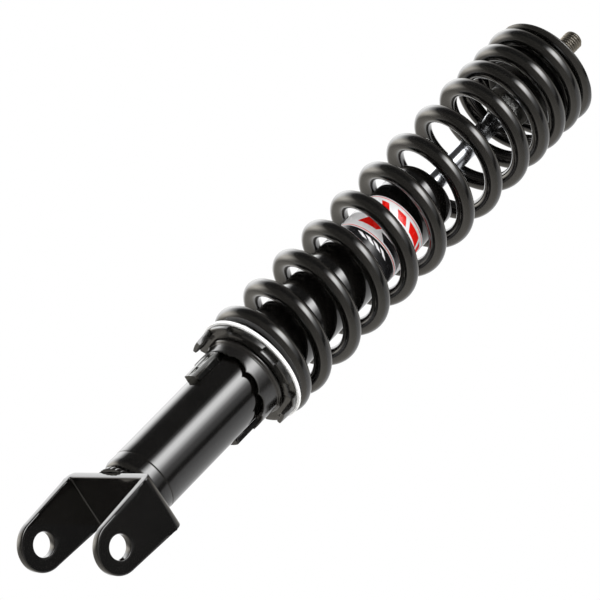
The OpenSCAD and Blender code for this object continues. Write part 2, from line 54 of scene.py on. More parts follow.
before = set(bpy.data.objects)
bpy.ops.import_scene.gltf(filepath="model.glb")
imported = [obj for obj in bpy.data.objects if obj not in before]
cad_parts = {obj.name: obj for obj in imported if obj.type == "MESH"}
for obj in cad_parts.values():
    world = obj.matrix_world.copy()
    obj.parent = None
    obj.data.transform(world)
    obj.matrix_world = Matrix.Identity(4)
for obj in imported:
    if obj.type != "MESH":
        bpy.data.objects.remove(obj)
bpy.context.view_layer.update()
MM = 0.001  # shapes are worked out in millimetres and stored in metres
PI = np.pi
SEAT_OVER = 2.6  # how far the upper seat reaches past the middle of the spring's wire
PILOT_ROOM = 0.9  # between the wire and the collar's pilot
FIT = 0.03  # round a piece that is held in a bore
RUNNING_FIT = 0.08  # round a piece that turns or slides


# Lowest and highest corner of each CAD node, in millimetres.
BOX = {node: tuple(np.array(corner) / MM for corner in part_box(node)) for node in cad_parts}


def foot_of(node):
    """Height of a node's lower end."""
    return float(BOX[node][0][2])


def top_of(node):
    """Height of a node's upper end."""
    return float(BOX[node][1][2])


def radius_of(node):
    """Largest radius of a round node about the strut's axis."""
    return float(BOX[node][1][0])


def span(node):
    """Foot, top and largest radius of a round node."""
    return foot_of(node), top_of(node), radius_of(node)


# ---------- Sizes and colours ----------


def length(name, description, millimetres):
    """A length, given in millimetres and kept in metres."""
    return FloatProperty(name=name, description=description, default=millimetres * MM, min=0, unit="LENGTH")


def turns(name, description, value):
    """A number of turns of the wire."""
    return FloatProperty(name=name, description=description, default=value, min=0)


def share(name, description, value):
    """A number from 0 to 1."""
    return FloatProperty(name=name, description=description, default=value, min=0, max=1, subtype="FACTOR")


def angle(name, description, degrees):
    """An angle, given in degrees and kept in radians."""
    return FloatProperty(name=name, description=description, default=np.radians(degrees), subtype="ANGLE")


def colour(name, description, value):
    """A linear colour."""
    return FloatVectorProperty(
        name=name, description=description, default=value, size=3, subtype="COLOR", min=0, max=1
    )


class StrutFinish(bpy.types.PropertyGroup):
    """Colours and gloss of the strut's finishes."""

    black: colour("Black paint", "Gloss paint of spring, tube and fork", (0.0032, 0.0030, 0.0027))
    enamel: colour("Enamel", "Thinner black enamel of collar and seat", (0.0075, 0.0072, 0.0066))
    paint_roughness: share("Paint roughness", "Roughness of the gloss paint", 0.08)
    enamel_roughness: share("Enamel roughness", "Roughness of the enamel", 0.19)
    chrome: colour("Chrome", "Colour of the piston rod", (0.66, 0.68, 0.72))
    zinc: colour("Zinc", "Colour of the plated nuts", (0.36, 0.36, 0.35))
    lug: colour("Dark plate", "Colour of the lugs' thin dark plating", (0.085, 0.085, 0.082))
    steel: colour("Turned steel", "Colour of the stud's rolled thread", (0.31, 0.29, 0.255))
    ring: colour("Bright ring", "Colour of the ring under the spring", (0.97, 0.97, 0.97))
    label_white: colour("Label ground", "Colour of the label", (0.90, 0.90, 0.92))
    label_red: colour("Label bars", "Colour of the label's bars and lines", (0.80, 0.010, 0.006))
    label_black: colour("Label foot", "Colour of the label's dark foot", (0.010, 0.010, 0.011))


class StrutSpring(bpy.types.PropertyGroup):
    """The coil spring's winding."""

    wire: length("Wire", "Diameter of the wire", 8.75)
    closed_gap: length("Closed gap", "Gap between coils that are wound closed", 0.35)
    lower_tip: length("Lower tip", "Thickness left at the lower ground tip", 5.6)
    upper_tip: length("Upper tip", "Thickness left at the upper ground tip", 1.2)
    closed_turns: turns("Closed turns", "Turns lying closed on the lower seat", 0.8)
    bend_turns: turns("Bend", "Turns over which closed winding opens", 0.3)
    open_turns: turns("Open turns", "Turns of the widely wound part", 7.2)
    middle_turns: turns("Middle turns", "Turns over which the wide pitch narrows", 1.0)
    tight_turns: turns("Tight turns", "Turns of the narrowly wound part", 2.2)
    tight_pitch: length("Tight pitch", "Rise for each turn of the narrow part", 13.6)
    end_turns: turns("End turns", "Turns lying closed against the upper seat", 1.04)
    first_angle: angle("First angle", "Where the lower tip points, round the axis from +X", 198)
    still_turn: turns("Still turn", "Turn of the wire that stays put when either end moves", 3.4)


class StrutFork(bpy.types.PropertyGroup):
    """The folded fork and its weld."""

    bore: length("Bore radius", "Radius of the bolt bore", 6)
    plate: length("Plate", "Thickness of the folded plate", 4)
    fold: length("Fold radius", "Inside radius of the folds", 0.6)
    edge: length("Edge round", "Rounding of the sheared edges", 0.75)
    bore_edge: length("Bore edge", "Rounding of the bore's edges", 0.45)
    weld_waves: IntProperty(name="Weld waves", description="Ripples round the weld bead", default=34)
    weld_width: length("Weld width", "Width of the weld bead's foot", 2)


class StrutDamper(bpy.types.PropertyGroup):
    """The tube, its caps and the rod."""

    edge: length("Edge round", "Rounding of the tube's outer edges", 0.5)
    cap_edge: length("Cap round", "Rounding of the gland cap's rim", 1.4)
    shoulder: length("Shoulder", "Height of the base cap's rounded shoulder", 4)
    skirt: length("Skirt", "Height of the base cap's straight skirt", 4.8)
    foot_inset: length("Foot inset", "How far the foot stands in from the tube", 2.5)
    spigot: length("Spigot", "Radius of the rod's end in the piston", 3.5)
    thread_pitch: length("Thread pitch", "Pitch of the stud's thread", 1.5)
    thread_depth: length("Thread depth", "Depth of the stud's thread", 0.8)
    stud_bevel: length("Stud bevel", "Bevel at the stud's tip", 1)
    groove_depth: length("Groove depth", "Depth of the groove at the thread's foot", 0.6)


class StrutCollar(bpy.types.PropertyGroup):
    """The stepped preload collar and the ring on it."""

    steps: IntProperty(name="Steps", description="Scallops on each half of the sleeve's edge", default=4)
    step_turn: angle("Step turn", "Turn from one step to the next", 33)
    step_rise: length("Step rise", "Rise from one step to the next", 2.1)
    scallop: length("Scallop depth", "Depth of a scallop below its two cusps", 2.4)
    sleeve: length("Sleeve", "Thickness of the sleeve", 3)
    lip: length("Lip", "Thickness of the sleeve's thin lower lip", 2.05)
    recess: length("Recess", "Depth of the recess behind the lip", 5)
    flange: length("Flange", "Thickness of the flange", 3.4)
    first_left: angle("First notch", "Left wall of the lug's notch, from the lug's middle", -20)
    notches: IntProperty(name="Notches", description="Hook-spanner notches round the flange", default=8)
    notch_depth: length("Notch depth", "Depth of a hook-spanner notch", 2.8)
    tab_angle: angle("Tab angle", "Place of the first bent tab", 55)
    tab_drop: length("Tab drop", "How far a tab hangs below the flange", 6)


class StrutSeat(bpy.types.PropertyGroup):
    """The pressed upper seat."""

    sheet: length("Sheet", "Thickness of the pressed sheet", 2)
    cup: length("Cup radius", "Outside radius of the cup", 19.4)
    cup_depth: length("Cup depth", "Depth of the cup below the flange", 20)
    hub: length("Hub radius", "Outside radius of the hub", 11.64)
    press_round: length("Press round", "Rounding of the pressed bends", 1.6)


class StrutStage(bpy.types.PropertyGroup):
    """Camera, floor and studio."""

    azimuth: angle("Azimuth", "Direction of the camera round the axis, from +X", -25.954)
    elevation: angle("Elevation", "Height of the camera above the horizon", -30.614)
    roll: angle("Roll", "Turn of the camera about its own line of sight", 44.402)
    distance: length("Distance", "Distance of the camera", 2227.95)
    field: angle("Field", "Angle of view", 7.3032)
    aim: FloatVectorProperty(
        name="Aim", description="Point that the camera looks at", default=(-0.00285, -0.00585, 0.17454), unit="LENGTH"
    )
    floor: colour("Floor", "Colour of the floor", (0.90, 0.90, 0.895))


GROUPS = {
    "strut_finish": StrutFinish,
    "strut_spring": StrutSpring,
    "strut_fork": StrutFork,
    "strut_damper": StrutDamper,
    "strut_collar": StrutCollar,
    "strut_seat": StrutSeat,
    "strut_stage": StrutStage,
}


def sizes(name):
    """The numbers of one of the scene's groups, its lengths in millimetres."""
    group = getattr(bpy.context.scene, name)
    values = {key: getattr(group, key) for key in GROUPS[name].__annotations__}
    in_metres = {key for key in values if group.bl_rna.properties[key].unit == "LENGTH"}
    return SimpleNamespace(**{key: value / MM if key in in_metres else value for key, value in values.items()})


# ---------- Surfaces ----------


def closed_grid(surface):
    """Points and quads of a closed surface, given as a grid, rows by columns by 3. Its columns close on
    themselves. Its rows do too, unless the first and last row are single points, which are poles. The
    signed volume, a third of the sum of each face's middle dotted with its area vector, tells which
    way the faces point, and they are turned outwards."""
    rows, columns = surface.shape[:2]
    has_poles = np.ptp(surface[0], axis=0).max() < 1e-9
    i = np.arange(rows - 1 if has_poles else rows)[:, None]
    j = np.arange(columns)[None, :]
    down, right = (i + 1) % rows, (j + 1) % columns
    corners = [i * columns + j, i * columns + right, down * columns + right, down * columns + j]
    faces = np.stack([c.ravel() for c in np.broadcast_arrays(*corners)], axis=1)
    points = surface.reshape(-1, 3)
    a, b, c, d = (points[faces[:, k]] for k in range(4))
    volume = np.sum((a + b + c + d) / 4 * np.cross(c - a, d - b) / 2)
    return points, faces[:, ::-1] if volume < 0 else faces


def solid(name, surfaces, finish, body, *replaced, slot=None, sharp=32):
    """Makes a mesh object of closed surfaces in millimetres, smooth but for edges sharper than sharp
    degrees."""
    points, faces = zip(*(closed_grid(surface) for surface in surfaces))
    starts = np.cumsum([0] + [len(part) for part in points[:-1]])
    faces = np.concatenate([part + start for part, start in zip(faces, starts)])
    mesh = bpy.data.meshes.new(name)
    mesh.from_pydata(np.concatenate(points) * MM, [], faces.tolist())
    work = bmesh.new()
    work.from_mesh(mesh)
    bmesh.ops.remove_doubles(work, verts=work.verts, dist=1e-7)
    bmesh.ops.dissolve_degenerate(work, edges=work.edges, dist=1e-8)
    work.to_mesh(mesh)
    work.free()
    return finish_piece(name, mesh, finish, body, replaced, sharp)


def finish_piece(name, mesh, finish, body, replaced, sharp):
    """Links the mesh as an object, shades it, gives it its finish and puts it on its body."""
    mesh.polygons.foreach_set("use_smooth", np.ones(len(mesh.polygons), bool))
    mesh.set_sharp_from_angle(angle=np.radians(sharp))
    mesh.materials.append(bpy.data.materials[finish])
    mesh.update()
    piece = bpy.data.objects.new(name, mesh)
    bpy.context.scene.collection.objects.link(piece)
    if body:
        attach(piece, body)
    if replaced:
        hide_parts(*replaced)
    return piece


def arc(centre_r, centre_z, r, start, end, steps=6):
    """Points of an arc in the plane of radius and height, between two angles in degrees."""
    a = np.radians(np.linspace(start, end, steps + 1))
    return np.stack([centre_r + r * np.cos(a), centre_z + r * np.sin(a)], axis=1)


def rounded(corners, steps=5):
    """A closed profile with its corners rounded. Each corner is (radius, height, rounding): the
    arc is a quadratic curve from a point that far before the corner to one that far after it."""
    corners = np.array(corners, float)
    places, size = corners[:, :2], corners[:, 2:3]
    before, after = np.roll(places, 1, axis=0) - places, np.roll(places, -1, axis=0) - places
    reach_before, reach_after = (np.linalg.norm(v, axis=1, keepdims=True) for v in (before, after))
    size = np.minimum(size, 0.49 * np.minimum(reach_before, reach_after))
    start, end = places + before / reach_before * size, places + after / reach_after * size
    t = np.linspace(0, 1, steps + 1)[None, :, None]
    curve = (1 - t) ** 2 * start[:, None] + 2 * t * (1 - t) * places[:, None] + t**2 * end[:, None]
    keep = np.where(size[:, 0] > 0, steps + 1, 1)
    return np.concatenate([c[:n] for c, n in zip(curve, keep)])


def carried(r, z, a):
    """Radius and height carried round the axis: rows follow the profile, and columns the angles a."""
    return np.stack([r * np.cos(a), r * np.sin(a), z + 0 * a], axis=2)


def revolved(profile, columns=160):
    """A profile of (radius, height) carried once round the axis."""
    return carried(profile[:, :1], profile[:, 1:], np.linspace(0, 2 * PI, columns, endpoint=False))


def split_long(profile, longest=6.0):
    """Adds points on a closed profile's long straight parts, for even faces."""
    ends = np.roll(profile, -1, axis=0)
    parts = np.maximum(1, np.ceil(np.linalg.norm(ends - profile, axis=1) / longest)).astype(int)
    ways = (np.linspace(0, 1, n, endpoint=False)[:, None] for n in parts)
    return np.concatenate([a + (b - a) * way for a, b, way in zip(profile, ends, ways)])


def band(node, inside, inner_round, low_round, high_round, steps=5):
    """Section of a plain ring, as tall and as wide as its node, with its edges rounded."""
    low, high, r = span(node)
    corners = [(inside, low, inner_round), (r, low, low_round), (r, high, high_round), (inside, high, inner_round)]
    return rounded(corners, steps)


def softened_copy(node, finish, width, body, shortest=2.5, bend=40):
    """A copy of a CAD node with its triangles merged into flat faces. Edges longer than shortest,
    where the faces meet at more than bend degrees, are rounded."""
    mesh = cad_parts[node].data.copy()
    work = bmesh.new()
    work.from_mesh(mesh)
    bmesh.ops.remove_doubles(work, verts=work.verts, dist=1e-6)
    bmesh.ops.dissolve_limit(work, angle_limit=np.radians(0.5), verts=work.verts, edges=work.edges)
    rounding = work.edges.layers.float.new("bevel_weight_edge")
    for edge in work.edges:
        if edge.calc_length() > shortest * MM and edge.calc_face_angle(0) > np.radians(bend):
            edge[rounding] = 1
    work.to_mesh(mesh)
    work.free()
    mesh.materials.clear()
    piece = finish_piece(node + "_soft", mesh, finish, body, [node], 32)
    bevel = piece.modifiers.new("Rounded edges", "BEVEL")
    bevel.width = width * MM
    bevel.segments = 3
    bevel.limit_method = "WEIGHT"
    bevel.harden_normals = True


# ---------- Finishes ----------


class Network:
    """The shader nodes of a material or world."""

    def __init__(self, owner):
        owner.use_nodes = True
        self.nodes, self.links = owner.node_tree.nodes, owner.node_tree.links

    def feed(self, source, socket):
        """Links an output to an input, or sets a plain value."""
        if isinstance(source, bpy.types.NodeSocket):
            self.links.new(source, socket)
        elif socket.type == "RGBA":
            socket.default_value = (*source[:3], 1)
        else:
            socket.default_value = source

    def add(self, kind, inputs=None, **settings):
        """Adds a node with its settings, and feeds its inputs, given by name or by number."""
        node = self.nodes.new("ShaderNode" + kind)
        for name, value in settings.items():
            setattr(node, name, value)
        for key, source in (inputs or {}).items():
            self.feed(source, node.inputs[key])
        return node

    def math(self, operation, *inputs):
        """One Math node."""
        return self.add("Math", dict(enumerate(inputs)), operation=operation).outputs[0]

    def mixed(self, factor, first, second):
        """Colour that goes from first to second as factor goes from 0 to 1."""
        return self.add("Mix", {0: factor, 6: first, 7: second}, data_type="RGBA").outputs[2]


class Finish(Network):
    """A material. Its patterns read Object coordinates in metres."""

    def __init__(self, name):
        self.material = bpy.data.materials.new(name)
        super().__init__(self.material)
        self.shader = self.nodes["Principled BSDF"]
        self.place = self.add("TexCoord").outputs["Object"]

    def noise(self, scale, detail=3.0, stretch=None):
        """Noise of that many waves a metre. stretch scales the coordinates along each axis first."""
        place = self.place
        if stretch:
            place = self.add("Mapping", {"Vector": place, "Scale": stretch}).outputs[0]
        inputs = {"Vector": place, "Scale": scale, "Detail": detail, "Roughness": 0.55}
        return self.add("TexNoise", inputs).outputs["Fac"]

    def spread(self, value, low, high, start=0.3, end=0.7):
        """Spreads a value between start and end over the range low to high."""
        inputs = {"Value": value, "From Min": start, "From Max": end, "To Min": low, "To Max": high}
        return self.add("MapRange", inputs).outputs["Result"]

    def bump(self, height, distance):
        """Bump of that distance in millimetres, fed to the shader's normal."""
        bump = self.add("Bump", {"Height": height, "Distance": distance * MM, "Strength": 1.0})
        self.set("Normal", bump.outputs[0])

    def set(self, name, value):
        """Links or sets one of the shader's sockets."""
        self.feed(value, self.shader.inputs[name])


def paint(name, body_colour, roughness, peel=0.002):
    """Black paint: a slow change of tone, faint dust, uneven gloss and a little orange peel."""
    finish = Finish(name)
    tone = finish.spread(finish.noise(45, 4), 0.75, 1.35)
    dust = finish.spread(finish.noise(900, 5), 0, 0.08, 0.62, 0.80)
    toned = finish.add("VectorMath", operation="SCALE", inputs={0: tuple(body_colour), "Scale": tone})
    finish.set("Base Color", finish.mixed(dust, toned.outputs[0], (0.075, 0.072, 0.068)))
    finish.set("Roughness", finish.spread(finish.noise(120, 5), roughness * 0.75, roughness * 1.35))
    finish.set("Specular IOR Level", 0.95)
    finish.bump(finish.noise(700, 2), peel)


def plated(name, metal_colour, roughness, grain=(60, 60, 900), depth=0.003):
    """Bare or plated metal: fine tool lines across the axis, cloudy gloss and slight stains."""
    finish = Finish(name)
    lines = finish.noise(1, 4, stretch=grain)
    cloud = finish.spread(finish.noise(160, 4), 0, 1)
    finish.set("Base Color", finish.mixed(cloud, tuple(c * 0.85 for c in metal_colour), metal_colour))
    finish.set("Metallic", 1.0)
    finish.set("Roughness", finish.spread(lines, roughness * 0.6, roughness * 1.5))
    finish.bump(lines, depth)


def soft_part(name, part_colour, roughness, shade=0.7):
    """Rubber, plastic or a coated part: nearly even tone with a fine grain."""
    finish = Finish(name)
    cloud = finish.spread(finish.noise(300, 4), 0.0, 1.0)
    finish.set("Base Color", finish.mixed(cloud, tuple(c * shade for c in part_colour), part_colour))
    finish.set("Roughness", finish.spread(finish.noise(900, 3), roughness * 0.8, roughness * 1.2))
    finish.bump(finish.noise(1500, 3), 0.01)


def printed_label(name, colours, label_foot, label_top):
    """Printed film: a pale ground, rows of slanted bars, thin border lines and a dark foot with ticks.
    Everything is placed by the turn angle in degrees and the height in millimetres."""
    finish = Finish(name)
    x, y, z = finish.add("SeparateXYZ", {0: finish.place}).outputs
    turn = finish.math("MULTIPLY", finish.math("ARCTAN2", y, x), 180 / PI)
    height = finish.math("MULTIPLY", z, 1 / MM)
    foot_line = label_foot + 11.5

    def any_of(masks):
        """1 where any of the masks is 1."""
        total = masks[0]
        for mask in masks[1:]:
            total = finish.math("MAXIMUM", total, mask)
        return total

    def line(middle, half):
        """1 inside a level line."""
        return finish.math("COMPARE", height, middle, half)

    def bars(middle, half, slant, *places):
        """1 inside a row of bars that lean by slant degrees a millimetre. Each has its place and half
        its width in degrees."""
        leaned = finish.math("MULTIPLY_ADD", finish.math("SUBTRACT", height, middle), slant, turn)
        inside = any_of([finish.math("COMPARE", leaned, place, width) for place, width in places])
        return finish.math("MULTIPLY", inside, line(middle, half))

    upper_row = ((-56, 7), (-23, 9), (12, 17), (45, 9), (120, 9), (150, 9), (-150, 17))
    lines = any_of([line(label_top - 0.75, 0.16), line(foot_line + 0.7, 0.2)])
    dark = any_of([finish.math("LESS_THAN", height, foot_line), bars(foot_line + 3.4, 1.7, 4.0, (8, 32), (-160, 30))])
    reds = any_of([
        bars(label_top - 4.6, 2.1, 2.6, *upper_row),
        bars(label_top - 17.2, 2.1, -2.6, (-52, 18), (136, 18)),
    ])
    ticks = bars(foot_line - 2.4, 1.0, 7.0, *((place, 4.6) for place in (-50, -35, -20, -5)))
    stain = finish.spread(finish.noise(500, 3), 0, 0.12)
    printed = finish.mixed(stain, colours.label_white, (0.6, 0.6, 0.62))
    red, black, white = colours.label_red, colours.label_black, colours.label_white
    for mask, ink in ((lines, red), (dark, black), (reds, red), (ticks, white)):
        printed = finish.mixed(mask, printed, ink)
    finish.set("Base Color", printed)
    finish.set("Roughness", finish.spread(finish.noise(300, 3), 0.16, 0.3))
    finish.bump(finish.noise(600, 2), 0.003)


class STRUT_OT_finishes(bpy.types.Operator):
    """Makes every finish and gives the inner pieces theirs"""

    bl_idname = "strut.finishes"
    bl_label = "Finishes"

    EVEN = (500, 500, 500)  # a grain without a direction
    INNER = {
        "black rubber": ("gland_o_ring", "dust_wiper", "top_out_buffer"),
        "brown seal": ("rod_oil_seal",),
        "machined alloy": ("rod_guide", "base_valve_body", "piston"),
        "bearing bronze": ("guide_bushing",),
        "turned steel": ("pressure_tube",),
        "valve steel": ("base_valve_plate", "base_valve_bolt", "rebound_shims", "compression_shims", "piston_nut",
                        "buffer_retainer"),
        "ring plastic": ("piston_ring",),
    }

    def execute(self, context):
        f = context.scene.strut_finish
        gloss, satin = f.paint_roughness, f.enamel_roughness
        paint("spring paint", f.black, gloss * 1.15)
        paint("tube paint", f.black, gloss * 0.8, peel=0.001)
        paint("fork paint", f.black, gloss, peel=0.003)
        paint("black enamel", f.enamel, satin, peel=0.004)
        paint("seat enamel", f.enamel, satin * 2, peel=0.004)
        plated("hard chrome", f.chrome, 0.16, depth=0.0006)
        plated("zinc plate", f.zinc, 0.22, self.EVEN)
        plated("dark plate", f.lug, 0.2, self.EVEN)
        plated("turned steel", f.steel, 0.42, (300, 300, 300), depth=0.001)
        soft_part("bright ring", f.ring, 0.25, shade=0.93)
        plated("machined alloy", (0.66, 0.67, 0.69), 0.3)
        plated("valve steel", (0.5, 0.51, 0.52), 0.28)
        plated("bearing bronze", (0.55, 0.38, 0.2), 0.3)
        soft_part("black rubber", (0.02, 0.02, 0.02), 0.6)
        soft_part("brown seal", (0.10, 0.05, 0.035), 0.55)
        soft_part("ring plastic", (0.25, 0.17, 0.12), 0.5)
        printed_label("printed label", f, foot_of("label_band"), top_of("label_band"))
        for finish, nodes in self.INNER.items():
            for node in nodes:
                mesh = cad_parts[node].data
                mesh.materials.clear()
                mesh.materials.append(bpy.data.materials[finish])
        return {"FINISHED"}


# ---------- Spring ----------


class Winding:
    """The spring's wire: its pitch runs in straight lines between knots, and its height is the sum
    of the pitch over the turns. The open pitch is what makes the height come out right."""

    def __init__(self, s, low, high, coil):
        self.wire_r, self.low, self.high, self.coil_r = s.wire / 2, low, high, coil
        self.first_angle = s.first_angle
        closed = s.wire + s.closed_gap
        parts = [s.closed_turns, s.bend_turns, s.open_turns, s.middle_turns, s.tight_turns, s.bend_turns, s.end_turns]
        self.knots = np.concatenate([[0], np.cumsum(parts)])
        first = low + s.lower_tip - self.wire_r
        last = high + self.wire_r - s.upper_tip
        closed_rise = closed * (s.closed_turns + s.end_turns + s.bend_turns)
        tight_rise = s.tight_pitch * (s.tight_turns + (s.middle_turns + s.bend_turns) / 2)
        wide = (last - first - closed_rise - tight_rise) / (s.open_turns + (s.bend_turns + s.middle_turns) / 2)
        pitches = [closed, closed, wide, wide, s.tight_pitch, s.tight_pitch, closed, closed]
        self.fine = np.linspace(0, self.knots[-1], 20001)
        pitch = np.interp(self.fine, self.knots, pitches)
        step = self.fine[1]
        mean = (pitch[1:] + pitch[:-1]) / 2
        self.heights = first + np.concatenate([[0], np.cumsum(mean * step)])
        self.room = np.concatenate([[0], np.cumsum((mean - closed) * step)])

    def height(self, t):
        """Height of the wire's middle after t turns."""
        return np.interp(t, self.fine, self.heights)

    def give(self, t):
        """Free gap between coils, summed from the lower tip, after t turns."""
        return np.interp(t, self.fine, self.room)

    def outline(self, t, sides, swell):
        """Sections of the wire at the turns t. A section is a circle. Where its middle lies past a
        seat's face, only the arc on the near side is left and the rest is laid on the face."""
        b = np.linspace(0, 2 * PI, sides, endpoint=False)[None, :]
        z = self.height(t)[:, None]
        past = np.maximum(0, np.maximum(z - self.high, self.low - z)) / self.wire_r
        trim = np.arcsin(np.minimum(0.97, past))
        middle = np.where(z > self.high, 1.5 * PI, 0.5 * PI)
        off = (b - middle + PI) % (2 * PI) - PI
        kept = np.abs(off) <= PI / 2 + 1e-6
        place = np.where(kept, middle + off * (1 - trim / (PI / 2)), b)
        reach = np.where(kept, 1, np.cos(trim)) * self.wire_r * swell[:, None]
        middle_z = np.clip(z, self.low, self.high)
        flat = np.clip(z + self.wire_r * np.sin(place), self.low, self.high)
        height = middle_z + (flat - middle_z) * swell[:, None]
        return carried(self.coil_r + reach * np.cos(place), height, self.first_angle - 2 * PI * t[:, None])


class STRUT_OT_spring(bpy.types.Operator):
    """Makes the coil spring in two pieces that meet at the turn that stays put"""

    bl_idname = "strut.spring"
    bl_label = "Coil spring"

    SIDES, STEPS = 28, 84
    TIP_ROUND = (0.0, 0.06, 0.2, 0.4)  # distances from a tip, in millimetres
    TIP_SIZE = (0.86, 0.93, 0.985, 1.0)  # and the section's size there

    def execute(self, context):
        s = sizes("strut_spring")
        coil = radius_of("upper_spring_seat") - SEAT_OVER
        winding = Winding(s, foot_of("coil_spring"), top_of("coil_spring"), coil)
        self.coils(winding, "spring_lower_coils", ("damper", "spring_seat"), s.still_turn, 0.0)
        self.coils(winding, "spring_upper_coils", ("damper", "rod"), s.still_turn, winding.knots[-1])
        return {"FINISHED"}

    def coils(self, winding, name, bodies, still, tip):
        """Makes the coils from the still turn to a tip, which rounds over, and works out each section's share of the
        tip's motion by the free gap between coils."""
        turn_length = 2 * PI * winding.coil_r
        rounding = np.array(self.TIP_ROUND) / turn_length
        even = np.linspace(min(still, tip), max(still, tip), int(abs(tip - still) * self.STEPS) + 1)
        clear = np.minimum(np.abs(even - tip), np.abs(even - still)) > rounding[-1]
        t = np.sort(np.concatenate([[still], even[clear], tip + rounding * np.sign(still - tip)]))
        sections = winding.outline(t, self.SIDES, np.interp(np.abs(t - tip), rounding, self.TIP_SIZE))
        poles = sections[[0, -1]].mean(axis=1, keepdims=True) + 0 * sections[:1]
        surface = np.concatenate([poles[:1], sections, poles[1:]])
        piece = solid(name, [surface], "spring paint", None, "coil_spring", slot="gloss_black_paint", sharp=38)
        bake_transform(piece)
        # A vertex lies on a section whose turn is known but for whole turns: its angle gives the part
        # of a turn, and its height picks the nearest whole number.
        coordinates = np.zeros(len(piece.data.vertices) * 3)
        piece.data.vertices.foreach_get("co", coordinates)
        x, y, z = coordinates.reshape(-1, 3).T / MM
        part = (winding.first_angle - np.arctan2(y, x)) / (2 * PI) % 1
        whole = np.round(np.interp(z, winding.heights, winding.fine) - part) + np.array([[-1], [0], [1]])
        guesses = np.clip(part + whole, t[0], t[-1])
        closest = np.argmin(np.abs(winding.height(guesses) - z), axis=0)
        way = (winding.give(t) - winding.give(still)) / (winding.give(tip) - winding.give(still))


# ---------- Fork and weld ----------


class STRUT_OT_fork(bpy.types.Operator):
    """Makes the folded fork, with rounded edges and bores, and its weld bead"""

    bl_idname = "strut.fork"
    bl_label = "Fork and weld"

    def execute(self, context):
        s = sizes("strut_fork")
        low, high = BOX["clevis_bracket"]
        self.outer, self.root, self.top = high
        self.end_r = -low[2]
        self.cut_z = self.top - s.plate - s.fold - 0.2
        fork = [self.ear(s, -1), self.ear(s, 1), self.web(s)]
        solid("fork", fork, "fork paint", "damper", "clevis_bracket", slot="gloss_black_paint", sharp=24)
        solid("fork_weld", [self.bead(s)], "fork paint", "damper", "clevis_weld", slot="black_enamel", sharp=60)
        return {"FINISHED"}

    def outline(self):
        """The ear's outline, (width, height): half a circle below, straight sides and a flat top. The
        second array is 0 along the top, where the ear runs on into the fold, and 1 elsewhere."""
        half = arc(0, 0, self.end_r, 180, 360, 64)
        way = np.linspace(0, 1, 21)[1:-1, None]
        right = np.array([self.end_r, 0]) * (1 - way) + np.array([self.root, self.cut_z]) * way
        across = np.linspace(1, -1, 33)[:, None] * self.root
        top = np.concatenate([across, np.full_like(across, self.cut_z)], axis=1)
        points = np.concatenate([half, right, top, right[::-1] * [-1, 1]])
        has_edge = np.ones((len(points), 1))
        has_edge[len(half) + len(right):][:len(top)] = 0
        return points, has_edge

    def ear(self, s, side):
        """A plate between bore and outline. Columns go round the ear, and rows go out along one face,
        over the rounded rim and back along the other. On a rounded edge, q goes round a quarter
        circle: the row lies 1 - cos q in from the edge and 1 - sin q below the face."""
        outline, has_edge = self.outline()
        direction = outline / np.linalg.norm(outline, axis=1, keepdims=True)
        q = np.radians(np.linspace(0, 90, 5))[:, None, None]
        at_bore = direction * (s.bore + s.bore_edge * (1 - np.cos(q)))
        at_rim = outline - direction * has_edge * s.edge * (1 - np.cos(q[::-1]))
        k = np.linspace(0, 1, 7)[1:-1, None, None]
        between = at_bore[-1] + (at_rim[0] - at_bore[-1]) * k
        face = np.concatenate([at_bore, between, at_rim])
        below = np.concatenate([s.bore_edge * (1 - np.sin(q)), 0 * k, s.edge * (1 - np.sin(q[::-1]))])
        depth = s.plate / 2 - below + 0 * face[..., :1]
        middle = self.outer - s.plate / 2
        inner = np.concatenate([side * (middle - depth), face], axis=2)
        outer = np.concatenate([side * (middle + depth), face], axis=2)
        return np.concatenate([inner, outer[::-1]])

    def web(self, s):
        """The plate's section, a rectangle with rounded corners, carried up one ear, round the fold,
        across the web and down the other side. Rows follow the path."""
        bend = s.fold + s.plate / 2
        middle, top = self.outer - s.plate / 2, self.top - s.plate / 2
        side_path = np.concatenate([[[middle, self.cut_z]], arc(middle - bend, top - bend, bend, 0, 90, 12)])
        side_normal = np.concatenate([[[1, 0]], arc(0, 0, 1, 0, 90, 12)])
        across = np.linspace(middle - bend, bend - middle, 25)[1:-1, None]
        path = np.concatenate([side_path, across * [1, 0] + [0, top], side_path[::-1] * [-1, 1]])
        normal = np.concatenate([side_normal, 0 * across + [0, 1], side_normal[::-1] * [-1, 1]])
        w, h, e = self.root, s.plate / 2, s.edge
        section = rounded([(-w, -h, e), (w, -h, e), (w, h, e), (-w, h, e)], 4)
        width, depth = section.T
        x, z = (path[:, k:k + 1] + normal[:, k:k + 1] * depth for k in (0, 1))
        surface = np.stack([x, width + 0 * x, z], axis=2)
        poles = surface[[0, -1]].mean(axis=1, keepdims=True) + 0 * surface[:1]
        return np.concatenate([poles[:1], surface, poles[1:]])

    def bead(self, s):
        """A weld bead: its section is swollen by overlapping ripples, by a slow wander and by lumps."""
        low, high = BOX["clevis_weld"]
        foot_r = high[0] - s.weld_width
        a = np.linspace(0, 2 * PI, 720, endpoint=False)
        ripple = np.abs(np.sin(a * s.weld_waves / 2 + 0.8 * np.sin(3 * a))) ** 0.7
        wander = 0.5 * np.sin(2 * a + 1) + 0.3 * np.sin(5 * a + 2) + 0.2 * np.sin(11 * a)
        size = 0.80 + 0.20 * ripple + 0.10 * wander
        b = np.radians(np.linspace(-10, 100, 13))[:, None]
        r = foot_r + s.weld_width * size * np.cos(b)
        z = np.maximum(low[2], low[2] + (high[2] - low[2]) * size * np.sin(b))
        back = 0 * a[None] + np.array([[high[2] - 1.2], [low[2]]])
        return carried(np.concatenate([r, 0 * back + foot_r - 1.0]), np.concatenate([z, back]), a)


# ---------- Tube, caps, label and lugs ----------


